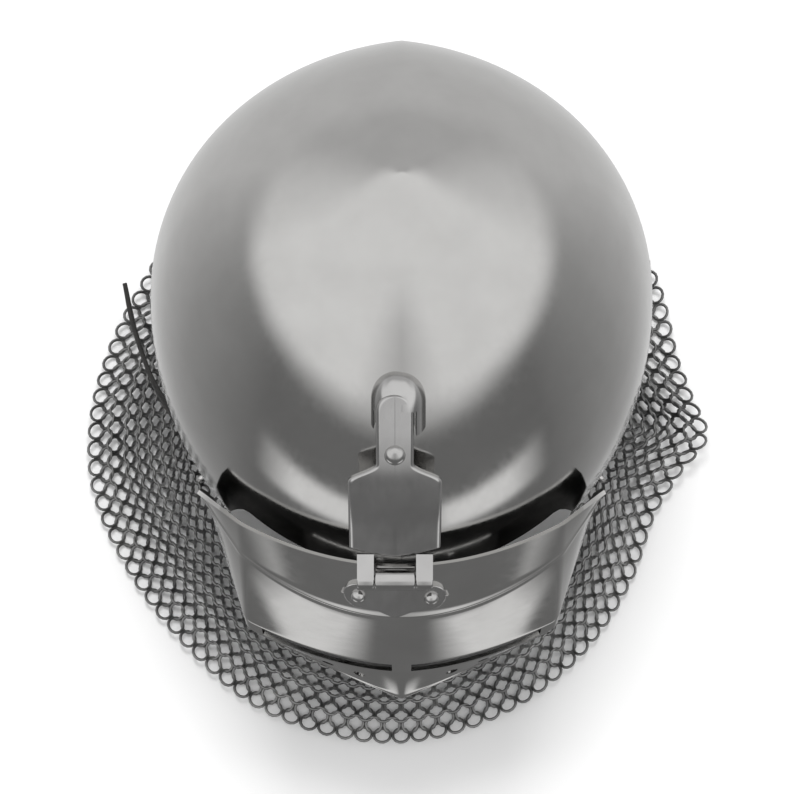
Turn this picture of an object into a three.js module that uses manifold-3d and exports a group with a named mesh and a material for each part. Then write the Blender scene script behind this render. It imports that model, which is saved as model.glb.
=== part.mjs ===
// A bascinet: a ridged steel skull with a visor hinged at the brow and a mail aventail on a leather band.
// Millimetres, +Z up, the face looks towards -Y, and the flat rim of the skull stands on z = 0.
import * as THREE from 'three';
import { ParametricGeometry } from 'three/addons/geometries/ParametricGeometry.js';
import { mergeVertices } from 'three/addons/utils/BufferGeometryUtils.js';
import Module from 'manifold-3d';

const wasm = await Module();
wasm.setup();

// Shared sizes
const GAP = 0.3;
const PLATE_WALL = 1.8;
const WELD = 1e-4;

// Skull: level sections from the apex down to the rim. front and back are the ends of the section on
// the medial plane, half is its greatest half width, reached at y = wide, and the keels say how far
// the two sides meet in a ridge instead of a round end.
const SKULL_SECTIONS = [
  { z: 278, front: 19.5, back: 19.5, half: 0, wide: 19.5, keelFront: 0.16, keelBack: 0.2 },
  { z: 274.5, front: 6, back: 33, half: 13, wide: 19, keelFront: 0.16, keelBack: 0.2 },
  { z: 267, front: -15, back: 51, half: 31, wide: 18, keelFront: 0.15, keelBack: 0.2 },
  { z: 255, front: -38, back: 69.5, half: 52, wide: 17, keelFront: 0.14, keelBack: 0.19 },
  { z: 238, front: -60, back: 86.5, half: 71, wide: 16, keelFront: 0.13, keelBack: 0.18 },
  { z: 215, front: -81, back: 100, half: 87, wide: 16, keelFront: 0.11, keelBack: 0.16 },
  { z: 187, front: -98, back: 111, half: 98.5, wide: 15, keelFront: 0.09, keelBack: 0.12 },
  { z: 155, front: -107, back: 118.5, half: 105.5, wide: 14, keelFront: 0.07, keelBack: 0.08 },
  { z: 122, front: -108, back: 121.5, half: 107, wide: 13, keelFront: 0.05, keelBack: 0.05 },
  { z: 85, front: -103, back: 120.5, half: 105.5, wide: 13, keelFront: 0.03, keelBack: 0.03 },
  { z: 42, front: -94, back: 116.5, half: 101.5, wide: 13, keelFront: 0.02, keelBack: 0.02 },
  { z: 0, front: -86, back: 111, half: 96.5, wide: 13, keelFront: 0, keelBack: 0 },
];
const SKULL_COLUMNS = 60;
const SKULL_ROWS = 14;
const SKULL_ROWS_ABOVE_BROW = 9;
const BROW_LEVEL = 7.1;
const FACE_EDGE_INNER = 0.2;
const FACE_EDGE_OUTER = 0.31;

// Hinge at the brow. HINGE_X is the small offset of the hand-fitted hinge from the medial plane.
const HINGE_X = -2.7;
const HINGE_Y = -115.3;
const HINGE_Z = 183;
const PIN_RADIUS = 1.6;
const BORE_RADIUS = 1.9;
const KNUCKLE_RADIUS = 4.4;
const KNUCKLE_REACH = 14.9;
const BARREL_HALF = 7.9;
const KNUCKLE_START = 8.3;
const HINGE_SIDES = 20;

// Hinge plate: its outer face runs down the ridge through these points, and its half width changes
// along its length from the round end of the tongue to the wide part.
const PLATE_LINE = [
  { y: -58.6, z: 249.8 },
  { y: -77.1, z: 233 },
  { y: -86.8, z: 223.1 },
  { y: -97.2, z: 210.3 },
  { y: -108.5, z: 191.5 },
];
const PLATE_THICKNESS = 2.2;
const TONGUE_HALF = 7.2;
const TONGUE_LENGTH = 30;
const SHOULDER_LENGTH = 9;
const PLATE_HALF = 18;
const PLATE_KEEL = 0.12;
const PLATE_BOW = 3;
const PLATE_RIVET_AT = 25;
const PLATE_RIVET_RADIUS = 4;
const RIVET_DOME = 2.2;

// Boss on the ridge, between two levels of the section table, domed to its height and hollowed for
// the tongue.
const BOSS_TOP_LEVEL = 3.33;
const BOSS_LOW_LEVEL = 4.3;
const BOSS_HALF = 10.4;
const BOSS_HEIGHT = 7.6;
const BOSS_EDGE = 0.8;
const BOSS_ROUNDED = 0.42;

// Visor: rows from the top edge to the chin. Each row runs from the medial plane to a corner, along
// a curve of the given power, and from the corner straight back to the rear edge.
const VISOR_ROWS = [
  { y: -109.5, z: 179, power: 2, corner: [66, -89.5, 165], rear: [84, -74.7, 156] },
  { y: -126.5, z: 160, power: 2, corner: [66, -98.5, 152], rear: [84, -72, 149] },
  { y: -141, z: 129.5, power: 1.75, corner: [65, -122.3, 128], rear: [83, -68.5, 127] },
  { y: -143.5, z: 122.5, power: 1.75, corner: [64.5, -124.8, 122.5], rear: [82.5, -69, 121] },
  { y: -152.4, z: 108, power: 1.05, corner: [63, -124, 112], rear: [81, -69.5, 111] },
  { y: -147, z: 86, power: 1.2, corner: [57, -120, 88], rear: [78, -69.5, 88] },
  { y: -136, z: 54, power: 1.3, corner: [49, -114, 55], rear: [73, -71, 55] },
  { y: -123, z: 22, power: 1.5, corner: [41, -108, 22], rear: [66, -71, 24] },
];
const LIP_ROW = 2;
const SNOUT_ROW = 4;
const VISOR_COLUMNS = 32;
const VISOR_CORNER = 0.625;
const SLIT_START = 4;
const SLIT_END = 58;
const SLIT_LOW = 123.4;
const SLIT_HIGH = 128.6;
const BREATH_RADIUS = 2.4;
const BREATH_PLACE = 3.5;
const BREATH_HOLES = [-30.6, -17.5, 20.9, 34];

// Leaf of the hinge on the sloping band of the visor. Its places are shares of the band's height.
const LEAF_THICKNESS = 1.6;
const LEAF_TOP = 0.02;
const LEAF_LOW = 0.96;
const LEAF_NECK = 9;
const LOBE_X = 14.4;
const LOBE_AT = 0.6;
const LOBE_RADIUS = 6;
const LEAF_RIVET_RADIUS = 3;

// Leather band round the rim, with a pointed loose end that springs away from the skull.
const BAND_THICKNESS = 2.2;
const BAND_HEIGHT = 22;
const BAND_LOW = 8;
const BAND_CHEEK_RISE = 18;
const BAND_END = 0.315;
const BAND_COLUMNS = 46;
const TAIL_LINE = [
  { x: -97.4, y: -25 },
  { x: -107.5, y: -9 },
  { x: -117.3, y: 8 },
  { x: -126, y: 32 },
  { x: -131.4, y: 54.8 },
];
const TAIL_LOW = 25;
const TAIL_HIGH = 44;
const TAIL_POINT = 0.4;
const TAIL_TIP = 0.06;

// Vervelles: wire staples that stand upright on the band.
const VERVELLE_PLACES = [0.335, 0.46, 0.58, 0.7, 0.82, 0.94];
const VERVELLE_WIRE = 1.2;
const VERVELLE_ARCH = 3.2;
const VERVELLE_REACH = 4.4;
const VERVELLE_LEVEL = 13;

// Aventail: a mail wall from the band to a hem on the surface. Azimuth in degrees from the front,
// positive to the wearer's left, reach from the neck's axis, and lift of a fold above the surface.
const MAIL_AXIS_Y = 10;
const MAIL_THICKNESS = 4;
const MAIL_COLUMNS = 72;
const MAIL_ROWS = 6;
const MAIL_CLEARANCE = 3.3;
const THROAT_HEIGHT = 3;
const MAIL_HANG = -2;
const THROAT_SHARE = 0.17;
const CHEEK_SHARE = 0.335;
const SLOPE_RUN = 9;
const SLOPE_PER_HEIGHT = 0.7;
const ROW_CROWDING = 1.25;
const HEM = [
  { azimuth: -180, reach: 150, lift: 0 },
  { azimuth: -150, reach: 145, lift: 2 },
  { azimuth: -130, reach: 139, lift: 0 },
  { azimuth: -112, reach: 139, lift: 2 },
  { azimuth: -97, reach: 145, lift: 0 },
  { azimuth: -84, reach: 151, lift: 3 },
  { azimuth: -73, reach: 156, lift: 0 },
  { azimuth: -56, reach: 157.5, lift: 0 },
  { azimuth: -40, reach: 161, lift: 1.5 },
  { azimuth: -22, reach: 168.5, lift: 0 },
  { azimuth: 0, reach: 170, lift: 0 },
  { azimuth: 17, reach: 164, lift: 0 },
  { azimuth: 34, reach: 154.5, lift: 1 },
  { azimuth: 50, reach: 144, lift: 0 },
  { azimuth: 63, reach: 136.5, lift: 0 },
  { azimuth: 73, reach: 141, lift: 5 },
  { azimuth: 80, reach: 149, lift: 10 },
  { azimuth: 88, reach: 141.5, lift: 4 },
  { azimuth: 98, reach: 136, lift: 0 },
  { azimuth: 115, reach: 138.5, lift: 2 },
  { azimuth: 135, reach: 141, lift: 0 },
  { azimuth: 155, reach: 147, lift: 1.5 },
];

const steel = new THREE.MeshStandardMaterial({ color: 0xb9b8b5, roughness: 0.3, metalness: 1 });
const darkSteel = new THREE.MeshStandardMaterial({ color: 0x8a8884, roughness: 0.34, metalness: 1 });
const leather = new THREE.MeshStandardMaterial({ color: 0x141312, roughness: 0.62, metalness: 0 });
const mail = new THREE.MeshStandardMaterial({ color: 0x6f6f6d, roughness: 0.42, metalness: 1 });

const bascinet = new THREE.Group();

function addPiece(name, geometry, material) {
  const mesh = new THREE.Mesh(geometry, material);
  mesh.name = name;
  bascinet.add(mesh);
}

// Smooth step from 0 at low to 1 at high; low may be the larger of the two.
function ease(low, high, value) {
  const share = THREE.MathUtils.clamp((value - low) / (high - low), 0, 1);
  return share * share * (3 - 2 * share);
}

// Smooth curve through evenly spaced values, open or closed, at a place counted in rows.
function along(values, place, closed = false) {
  const last = values.length - 1;
  const row = closed ? Math.floor(place) : Math.min(Math.floor(place), last - 1);
  const t = place - row;
  const at = (i) => {
    if (closed) return values[(i + values.length) % values.length];
    if (i < 0) return 2 * values[0] - values[1];
    if (i > last) return 2 * values[last] - values[last - 1];
    return values[i];
  };
  const [a, b, c, d] = [at(row - 1), at(row), at(row + 1), at(row + 2)];
  return b + 0.5 * t * (c - a + t * (2 * a - 5 * b + 4 * c - d + t * (3 * (b - c) + d - a)));
}

// Sheets and walls

// A grid surface with its seams and poles welded and its empty triangles left out.
function sheet(point, columns, rows) {
  const grid = new ParametricGeometry(point, columns, rows);
  grid.deleteAttribute('normal');
  grid.deleteAttribute('uv');
  const welded = mergeVertices(grid, WELD);
  const source = welded.index.array;
  const kept = [];
  for (let i = 0; i < source.length; i += 3) {
    const [a, b, c] = [source[i], source[i + 1], source[i + 2]];
    if (a !== b && b !== c && c !== a) kept.push(a, b, c);
  }
  welded.setIndex(kept);
  return welded;
}

// A closed wall between a sheet and its copy moved by back(point, normal, copy).
function wallBehind(front, back) {
  front.computeVertexNormals();
  const place = front.attributes.position;
  const count = place.count;
  const triangles = [...front.index.array];
  const points = [...place.array];
  const point = new THREE.Vector3();
  const normal = new THREE.Vector3();
  for (let i = 0; i < count; i += 1) {
    point.fromBufferAttribute(place, i);
    normal.fromBufferAttribute(front.attributes.normal, i);
    points.push(...back(point, normal).toArray());
  }
  const edges = new Set();
  const faces = triangles.slice();
  for (let i = 0; i < triangles.length; i += 3) {
    const corner = triangles.slice(i, i + 3);
    faces.push(corner[2] + count, corner[1] + count, corner[0] + count);
    corner.forEach((a, k) => edges.add(`${a} ${corner[(k + 1) % 3]}`));
  }
  for (const edge of edges) {
    const [a, b] = edge.split(' ').map(Number);
    if (!edges.has(`${b} ${a}`)) faces.push(b, a, a + count, b, a + count, b + count);
  }
  const wall = new THREE.BufferGeometry();
  wall.setAttribute('position', new THREE.Float32BufferAttribute(points, 3));
  wall.setIndex(faces);
  return wall;
}

// A wall of even thickness behind a sheet. A point on the floor keeps its level.
function plateBehind(front, thickness) {
  return wallBehind(front, (point, normal) => {
    const inner = point.clone().addScaledVector(normal, -thickness);
    if (point.z === 0) inner.z = 0;
    return inner;
  });
}

// A closed wall between two faces of one grid: point(u, v, target, behind) gives both of them.
function wallBetween(point, columns, rows) {
  const front = sheet((u, v, target) => point(u, v, target, false), columns, rows);
  const rear = sheet((u, v, target) => point(u, v, target, true), columns, rows).attributes.position;
  let next = -1;
  return wallBehind(front, () => {
    next += 1;
    return new THREE.Vector3().fromBufferAttribute(rear, next);
  });
}

// Joins and cuts

function toSolid(geometry) {
  const bare = geometry.clone();
  bare.deleteAttribute('normal');
  bare.deleteAttribute('uv');
  const welded = mergeVertices(bare, WELD);
  return new wasm.Manifold(new wasm.Mesh({
    numProp: 3,
    vertProperties: new Float32Array(welded.attributes.position.array),
    triVerts: new Uint32Array(welded.index.array),
  }));
}

function toGeometry(solid) {
  const cut = solid.getMesh();
  const geometry = new THREE.BufferGeometry();
  geometry.setAttribute('position', new THREE.Float32BufferAttribute(cut.vertProperties, 3));
  geometry.setIndex([...cut.triVerts]);
  return geometry;
}

// Skull

const SKULL_LEVELS = SKULL_SECTIONS.length - 1;

function skullSection(level) {
  const section = {};
  for (const column of Object.keys(SKULL_SECTIONS[0])) {
    section[column] = along(SKULL_SECTIONS.map((row) => row[column]), level);
  }
  return section;
}

// The level of the section table at a height, by halving.
function levelAt(z) {
  let [high, low] = [0, SKULL_LEVELS];
  for (let i = 0; i < 40; i += 1) {
    const middle = (high + low) / 2;
    if (skullSection(middle).z > z) high = middle;
    else low = middle;
  }
  return (high + low) / 2;
}

// A point on the skull. turn goes once round from the front by the wearer's left (+X) to the back and
// on. Each side of a section is an arc of an ellipse whose centre lies beyond the medial plane.
function skullPoint(turn, level) {
  const { z, front, back, half, wide, keelFront, keelBack } = skullSection(level);
  const onRight = turn > 0.5;
  const share = (onRight ? 1 - turn : turn) * 2;
  const forward = share < 0.5;
  const inset = (forward ? keelFront : keelBack) * half;
  const radius = half + inset;
  const start = radius > 0 ? Math.asin(inset / radius) : 0;
  const sweep = Math.PI / 2 - start;
  const angle = start + sweep * (forward ? share * 2 : 2 - share * 2);
  const x = radius * Math.sin(angle) - inset;
  const length = forward ? wide - front : wide - back;
  const y = wide - (length * Math.cos(angle)) / Math.cos(start);
  return new THREE.Vector3(onRight ? -x : x, y, z);
}

// The front of the skull at a given x, near the ridge.
function skullAtX(x, level) {
  const { z, front, half, wide, keelFront } = skullSection(level);
  const inset = keelFront * half;
  const radius = half + inset;
  const flat = (value) => Math.sqrt(radius * radius - value * value);
  const y = wide - ((wide - front) * flat(Math.abs(x) + inset)) / flat(inset);
  return new THREE.Vector3(x, y, z);
}

// The way straight out from the skull, level, at a turn and a level.
function outward(turn, level) {
  const step = 0.004;
  const ahead = skullPoint((turn + step) % 1, level);
  const behind = skullPoint((turn - step + 1) % 1, level);
  return new THREE.Vector3(ahead.y - behind.y, behind.x - ahead.x, 0).normalize();
}

// The lower edge of the skull: high over the face, and down to the rim behind the cheeks.
function lowestLevel(turn) {
  const share = Math.min(turn, 1 - turn) * 2;
  return THREE.MathUtils.lerp(BROW_LEVEL, SKULL_LEVELS, ease(FACE_EDGE_INNER, FACE_EDGE_OUTER, share));
}

function makeSkull() {
  const outer = sheet((u, v, target) => {
    const turn = u === 1 ? 0 : u;
    const row = (1 - v) * SKULL_ROWS;
    const above = Math.min(1, row / SKULL_ROWS_ABOVE_BROW);
    const below = Math.max(0, (row - SKULL_ROWS_ABOVE_BROW) / (SKULL_ROWS - SKULL_ROWS_ABOVE_BROW));
    const level = BROW_LEVEL * above + (lowestLevel(turn) - BROW_LEVEL) * below;
    target.copy(skullPoint(turn, level));
  }, SKULL_COLUMNS, SKULL_ROWS);
  return plateBehind(outer, PLATE_WALL);
}

// Hinge on the skull

// The outer face of the hinge plate at a distance along it and a place across it.
const plateCurve = new THREE.CatmullRomCurve3(PLATE_LINE.map(({ y, z }) => new THREE.Vector3(0, y, z)));
const PLATE_LENGTH = plateCurve.getLength();

function platePoint(distance, x, height) {
  const share = THREE.MathUtils.clamp(distance / PLATE_LENGTH, 0, 1);
  const run = plateCurve.getTangentAt(share);
  const out = new THREE.Vector3(0, run.z, -run.y);
  const point = plateCurve.getPointAt(share).addScaledVector(out, height - PLATE_KEEL * Math.abs(x));
  point.x = HINGE_X + x;
  return point;
}

function plateHalfWidth(distance) {
  if (distance < TONGUE_HALF) {
    return Math.sqrt(TONGUE_HALF ** 2 - (TONGUE_HALF - distance) ** 2);
  }
  const flare = ease(TONGUE_LENGTH, TONGUE_LENGTH + SHOULDER_LENGTH, distance);
  return THREE.MathUtils.lerp(TONGUE_HALF, PLATE_HALF, flare);
}

// The plate as a wall, grown on every side by a margin and raised above its outer face.
function plateWall(margin, raised) {
  const columns = 6;
  const rows = 20;
  return wallBetween((u, v, target, behind) => {
    const across = u * 2 - 1;
    const end = PLATE_LENGTH - PLATE_BOW * across * across;
    const distance = end * (1 - v * (1 + margin / end));
    const half = plateHalfWidth(Math.max(distance + margin, 0)) + (distance + margin > 0 ? margin : 0);
    const height = behind ? -PLATE_THICKNESS - margin : margin + raised;
    target.copy(platePoint(Math.max(distance, 0), across * half, height));
    if (distance < 0) target.addScaledVector(plateCurve.getTangentAt(0), distance);
  }, columns, rows);
}

// A cylinder round the hinge's axis between two places along it.
function hingeCylinder(radius, from, to) {
  const cylinder = new THREE.CylinderGeometry(radius, radius, to - from, HINGE_SIDES);
  cylinder.rotateZ(Math.PI / 2);
  cylinder.translate(HINGE_X + (from + to) / 2, HINGE_Y, HINGE_Z);
  return cylinder;
}

// A block from the hinge's axis to a point beside it, as wide as its knuckle.
function hingeWeb(target, thickness, from, to) {
  const run = new THREE.Vector3(0, target.y - HINGE_Y, target.z - HINGE_Z);
  const block = new THREE.BoxGeometry(to - from, run.length(), thickness);
  block.translate(0, run.length() / 2, 0);
  block.rotateX(Math.atan2(run.z, run.y));
  block.translate(HINGE_X + (from + to) / 2, HINGE_Y, HINGE_Z);
  return block;
}

function makeHingePlate() {
  const webThickness = 4.6;
  let plate = toSolid(plateWall(0, 0));
  for (const [from, to] of [[-KNUCKLE_REACH, -KNUCKLE_START], [KNUCKLE_START, KNUCKLE_REACH]]) {
    const seat = platePoint(PLATE_LENGTH - PLATE_BOW - 1, (from + to) / 2, -PLATE_THICKNESS / 2);
    plate = plate.add(toSolid(hingeWeb(seat, webThickness, from, to)));
    plate = plate.add(toSolid(hingeCylinder(KNUCKLE_RADIUS, from, to)));
  }
  const bore = toSolid(hingeCylinder(BORE_RADIUS, -KNUCKLE_REACH - 1, KNUCKLE_REACH + 1));
  return toGeometry(plate.subtract(bore));
}

// The boss follows the skull, rises to its full height inside its round edge, and opens downwards.
function makeHingeBoss() {
  const columns = 10;
  const rows = 9;
  const place = (u, v) => {
    const level = THREE.MathUtils.lerp(BOSS_LOW_LEVEL, BOSS_TOP_LEVEL, v);
    const end = Math.max(0, (v - BOSS_ROUNDED) / (1 - BOSS_ROUNDED));
    const half = BOSS_HALF * Math.sqrt(Math.max(0, 1 - end * end));
    return { level, end, x: (u * 2 - 1) * half, across: u * 2 - 1 };
  };
  const seatOf = ({ level, x }, height) => {
    const point = skullAtX(x + HINGE_X / 2, level);
    const above = skullAtX(x + HINGE_X / 2, level - 0.05);
    const run = above.clone().sub(point).normalize();
    return point.add(new THREE.Vector3(0, -run.z, run.y).multiplyScalar(height));
  };
  const wall = wallBetween((u, v, target, behind) => {
    const spot = place(u, v);
    const dome = Math.sqrt(Math.max(0, 1 - spot.across ** 6)) * Math.sqrt(Math.max(0, 1 - spot.end ** 4));
    const height = behind ? GAP : GAP + BOSS_EDGE + (BOSS_HEIGHT - BOSS_EDGE) * dome;
    target.copy(seatOf(spot, height));
  }, columns, rows);
  return toGeometry(toSolid(wall).subtract(toSolid(plateWall(GAP + 0.1, BOSS_HEIGHT))));
}

// A flat-bottomed domed rivet head with a short shank, its axis along +Z, its seat at z = 0.
function rivetHead(radius, dome) {
  const steps = 5;
  const profile = [new THREE.Vector2(0, 0), new THREE.Vector2(radius, 0)];
  for (let i = 1; i <= steps; i += 1) {
    const angle = (i / steps) * (Math.PI / 2);
    profile.push(new THREE.Vector2(i === steps ? 0 : radius * Math.cos(angle), dome * Math.sin(angle)));
  }
  return new THREE.LatheGeometry(profile, 12).rotateX(Math.PI / 2);
}

function makePlateRivet() {
  const share = PLATE_RIVET_AT / PLATE_LENGTH;
  const run = plateCurve.getTangentAt(share);
  const out = new THREE.Vector3(0, run.z, -run.y);
  const turn = new THREE.Quaternion().setFromUnitVectors(new THREE.Vector3(0, 0, 1), out);
  const seat = platePoint(PLATE_RIVET_AT, 0, GAP);
  return rivetHead(PLATE_RIVET_RADIUS, RIVET_DOME).applyQuaternion(turn).translate(seat.x, seat.y, seat.z);
}

// Visor

// A point on the visor's outer face: across from -1 at one rear edge to 1 at the other, and a place
// counted in rows. Between two rows the plate is straight, so each row is a crease.
function visorPoint(across, place) {
  const side = Math.abs(across);
  const row = Math.min(Math.floor(place), VISOR_ROWS.length - 2);
  const ends = [VISOR_ROWS[row], VISOR_ROWS[row + 1]].map((line) => {
    const corner = new THREE.Vector3(...line.corner);
    if (side > VISOR_CORNER) {
      return corner.lerp(new THREE.Vector3(...line.rear), (side - VISOR_CORNER) / (1 - VISOR_CORNER));
    }
    const share = side / VISOR_CORNER;
    const spot = new THREE.Vector3(0, line.y, line.z).lerp(corner, share ** line.power);
    spot.x = corner.x * share;
    return spot;
  });
  const point = ends[0].lerp(ends[1], place - row);
  if (across < 0) point.x = -point.x;
  return point;
}

function visorNormal(across, place) {
  const step = 0.01;
  const run = visorPoint(across + step, place).sub(visorPoint(across - step, place));
  const rise = visorPoint(across, place - step).sub(visorPoint(across, place + step));
  return run.cross(rise).normalize();
}

// The share across the visor that lies at x on a row.
function visorAcross(x, row) {
  return (x / VISOR_ROWS[row].corner[0]) * VISOR_CORNER;
}

function makeVisor() {
  const rows = VISOR_ROWS.length - 1;
  const outer = sheet((u, v, target) => {
    target.copy(visorPoint(u * 2 - 1, rows * (1 - v)));
  }, VISOR_COLUMNS, rows);
  let visor = toSolid(plateBehind(outer, PLATE_WALL));
  const cutDepth = 60;
  for (const side of [-1, 1]) {
    const slit = new THREE.BoxGeometry(SLIT_END - SLIT_START, cutDepth, SLIT_HIGH - SLIT_LOW);
    slit.translate((side * (SLIT_START + SLIT_END)) / 2, VISOR_ROWS[LIP_ROW].y, (SLIT_LOW + SLIT_HIGH) / 2);
    visor = visor.subtract(toSolid(slit));
  }
  for (const x of BREATH_HOLES) {
    const across = visorAcross(x, SNOUT_ROW);
    const seat = visorPoint(across, BREATH_PLACE);
    const drill = new THREE.CylinderGeometry(BREATH_RADIUS, BREATH_RADIUS, 4 * BREATH_RADIUS, 10);
    const turn = new THREE.Quaternion();
    turn.setFromUnitVectors(new THREE.Vector3(0, 1, 0), visorNormal(across, BREATH_PLACE));
    drill.applyQuaternion(turn).translate(seat.x, seat.y, seat.z);
    visor = visor.subtract(toSolid(drill));
  }
  return toGeometry(visor);
}

// The leaf lies on the visor's band: a neck under the middle knuckle, two round lobes, and a lower
// edge that runs to a point on the crease.
const bandHeight = visorPoint(0, 0).distanceTo(visorPoint(0, 1));

function leafHalfWidth(place) {
  const off = (place - LOBE_AT) * bandHeight;
  const lobe = Math.abs(off) < LOBE_RADIUS ? LOBE_X + Math.sqrt(LOBE_RADIUS ** 2 - off ** 2) : 0;
  const taper = ((LEAF_LOW - place) / (LEAF_LOW - LOBE_AT)) * (LOBE_X + LOBE_RADIUS) + 1;
  return Math.max(lobe, place < LOBE_AT ? LEAF_NECK : taper);
}

function leafPoint(x, place, height) {
  const across = visorAcross(HINGE_X + x, 0);
  return visorPoint(across, place).addScaledVector(visorNormal(across, Math.max(place, 0.05)), height);
}

function makeLeaf() {
  const columns = 10;
  const rows = 16;
  const top = sheet((u, v, target) => {
    const place = THREE.MathUtils.lerp(LEAF_LOW, LEAF_TOP, v);
    target.copy(leafPoint((u * 2 - 1) * leafHalfWidth(place), place, GAP + LEAF_THICKNESS));
  }, columns, rows);
  const webThickness = 4;
  const webDepth = 0.8;
  const seat = leafPoint(0, 0.1, GAP + webDepth);
  const barrel = toSolid(hingeCylinder(KNUCKLE_RADIUS, -BARREL_HALF, BARREL_HALF));
  const web = toSolid(hingeWeb(seat, webThickness, -BARREL_HALF, BARREL_HALF));
  const bore = toSolid(hingeCylinder(BORE_RADIUS, -BARREL_HALF - 1, BARREL_HALF + 1));
  const leaf = toSolid(plateBehind(top, LEAF_THICKNESS));
  return toGeometry(leaf.add(web).add(barrel).subtract(bore));
}

function makeLeafRivet(side) {
  const seat = leafPoint(side * LOBE_X, LOBE_AT, 2 * GAP + LEAF_THICKNESS);
  const out = visorNormal(visorAcross(HINGE_X + side * LOBE_X, 0), LOBE_AT);
  const turn = new THREE.Quaternion().setFromUnitVectors(new THREE.Vector3(0, 0, 1), out);
  return rivetHead(LEAF_RIVET_RADIUS, RIVET_DOME).applyQuaternion(turn).translate(seat.x, seat.y, seat.z);
}

// Leather band and vervelles

// The lower edge of the band rises towards the cheeks.
function bandLow(turn) {
  const share = Math.min(turn, 1 - turn) * 2;
  return BAND_LOW + BAND_CHEEK_RISE * ease(0.5, BAND_END, share);
}

function bandPoint(turn, z, stand) {
  const level = levelAt(z);
  return skullPoint(turn, level).addScaledVector(outward(turn, level), stand);
}

function makeBand() {
  const start = BAND_END / 2;
  const outer = sheet((u, v, target) => {
    const turn = THREE.MathUtils.lerp(start, 1 - start, u);
    target.copy(bandPoint(turn, bandLow(turn) + v * BAND_HEIGHT, GAP + BAND_THICKNESS));
  }, BAND_COLUMNS, 1);
  const tailCurve = new THREE.CatmullRomCurve3(TAIL_LINE.map(({ x, y }) => new THREE.Vector3(x, y, 0)));
  const tail = sheet((u, v, target) => {
    const point = Math.max(0, (1 - u - TAIL_POINT) / (1 - TAIL_POINT));
    const narrow = 1 - (1 - TAIL_TIP) * point * point;
    const middle = (TAIL_LOW + TAIL_HIGH) / 2;
    target.copy(tailCurve.getPointAt(1 - u));
    target.z = middle + (v - 0.5) * (TAIL_HIGH - TAIL_LOW) * narrow;
  }, 9, 1);
  const strap = toSolid(plateBehind(outer, BAND_THICKNESS));
  return toGeometry(strap.add(toSolid(plateBehind(tail, BAND_THICKNESS))));
}

// A staple bent from wire: two legs that start just off the band and a round arch between them.
function makeVervelle(turn) {
  const z = bandLow(turn) + VERVELLE_LEVEL;
  const out = outward(turn, levelAt(z));
  const stand = 2 * GAP + BAND_THICKNESS;
  const lowFoot = bandPoint(turn, z - VERVELLE_ARCH, stand);
  const highFoot = bandPoint(turn, z + VERVELLE_ARCH, stand);
  const legs = VERVELLE_REACH - VERVELLE_ARCH;
  const path = new THREE.CurvePath();
  const spot = (reach, rise) => {
    const share = 0.5 + rise / (2 * VERVELLE_ARCH);
    return lowFoot.clone().lerp(highFoot, share).addScaledVector(out, reach);
  };
  const bend = [];
  const steps = 6;
  for (let i = 0; i <= steps; i += 1) {
    const angle = (i / steps) * Math.PI;
    bend.push(spot(legs + VERVELLE_ARCH * Math.sin(angle), -VERVELLE_ARCH * Math.cos(angle)));
  }
  path.add(new THREE.LineCurve3(spot(0, -VERVELLE_ARCH), bend[0]));
  for (let i = 0; i < steps; i += 1) path.add(new THREE.LineCurve3(bend[i], bend[i + 1]));
  path.add(new THREE.LineCurve3(bend[steps], spot(0, VERVELLE_ARCH)));
  const wire = new THREE.Shape(new THREE.EllipseCurve(0, 0, VERVELLE_WIRE, VERVELLE_WIRE).getPoints(5));
  return new THREE.ExtrudeGeometry(wire, { steps: steps + 2, bevelEnabled: false, extrudePath: path });
}

// Aventail

// The hem at a turn: reach and lift by a smooth closed curve through the table's rows.
function hemAt(turn) {
  const azimuth = turn > 0.5 ? turn * 360 - 360 : turn * 360;
  const rows = HEM.length;
  let row = rows - 1;
  while (HEM[row].azimuth > azimuth) row -= 1;
  const next = row + 1 < rows ? HEM[row + 1].azimuth : HEM[0].azimuth + 360;
  const place = row + (azimuth - HEM[row].azimuth) / (next - HEM[row].azimuth);
  const smooth = (column) => along(HEM.map((line) => line[column]), place, true);
  const lift = Math.max(0, smooth('lift'));
  return { azimuth: THREE.MathUtils.degToRad(azimuth), reach: smooth('reach'), lift };
}

// The inner edge hangs from the band, and across the throat it lies free on the surface.
function mailEdge(turn) {
  const share = Math.min(turn, 1 - turn) * 2;
  const hung = ease(THROAT_SHARE, CHEEK_SHARE, share);
  const height = THREE.MathUtils.lerp(THROAT_HEIGHT, bandLow(turn) + MAIL_HANG, hung);
  return { height, point: bandPoint(turn, height, MAIL_CLEARANCE) };
}

// Underside of the mail: down from the inner edge in a slope, then out along the surface to the hem.
function mailPoint(turn, share) {
  const { reach, lift, azimuth } = hemAt(turn);
  const { height, point } = mailEdge(turn);
  const hem = new THREE.Vector3(reach * Math.sin(azimuth), MAIL_AXIS_Y - reach * Math.cos(azimuth), 0);
  const spot = point.clone().lerp(hem, share);
  const run = Math.hypot(hem.x - point.x, hem.y - point.y) * share;
  const hang = height * (1 - ease(0, SLOPE_RUN + height * SLOPE_PER_HEIGHT, run));
  spot.z = hang + lift * ease(0.25, 0.9, share);
  return spot;
}

function makeAventail() {
  return wallBetween((u, v, target, behind) => {
    const turn = u === 1 ? 0 : u;
    const share = (1 - v) ** ROW_CROWDING;
    target.copy(mailPoint(turn, share));
    if (!behind) target.z += MAIL_THICKNESS;
  }, MAIL_COLUMNS, MAIL_ROWS);
}

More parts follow.
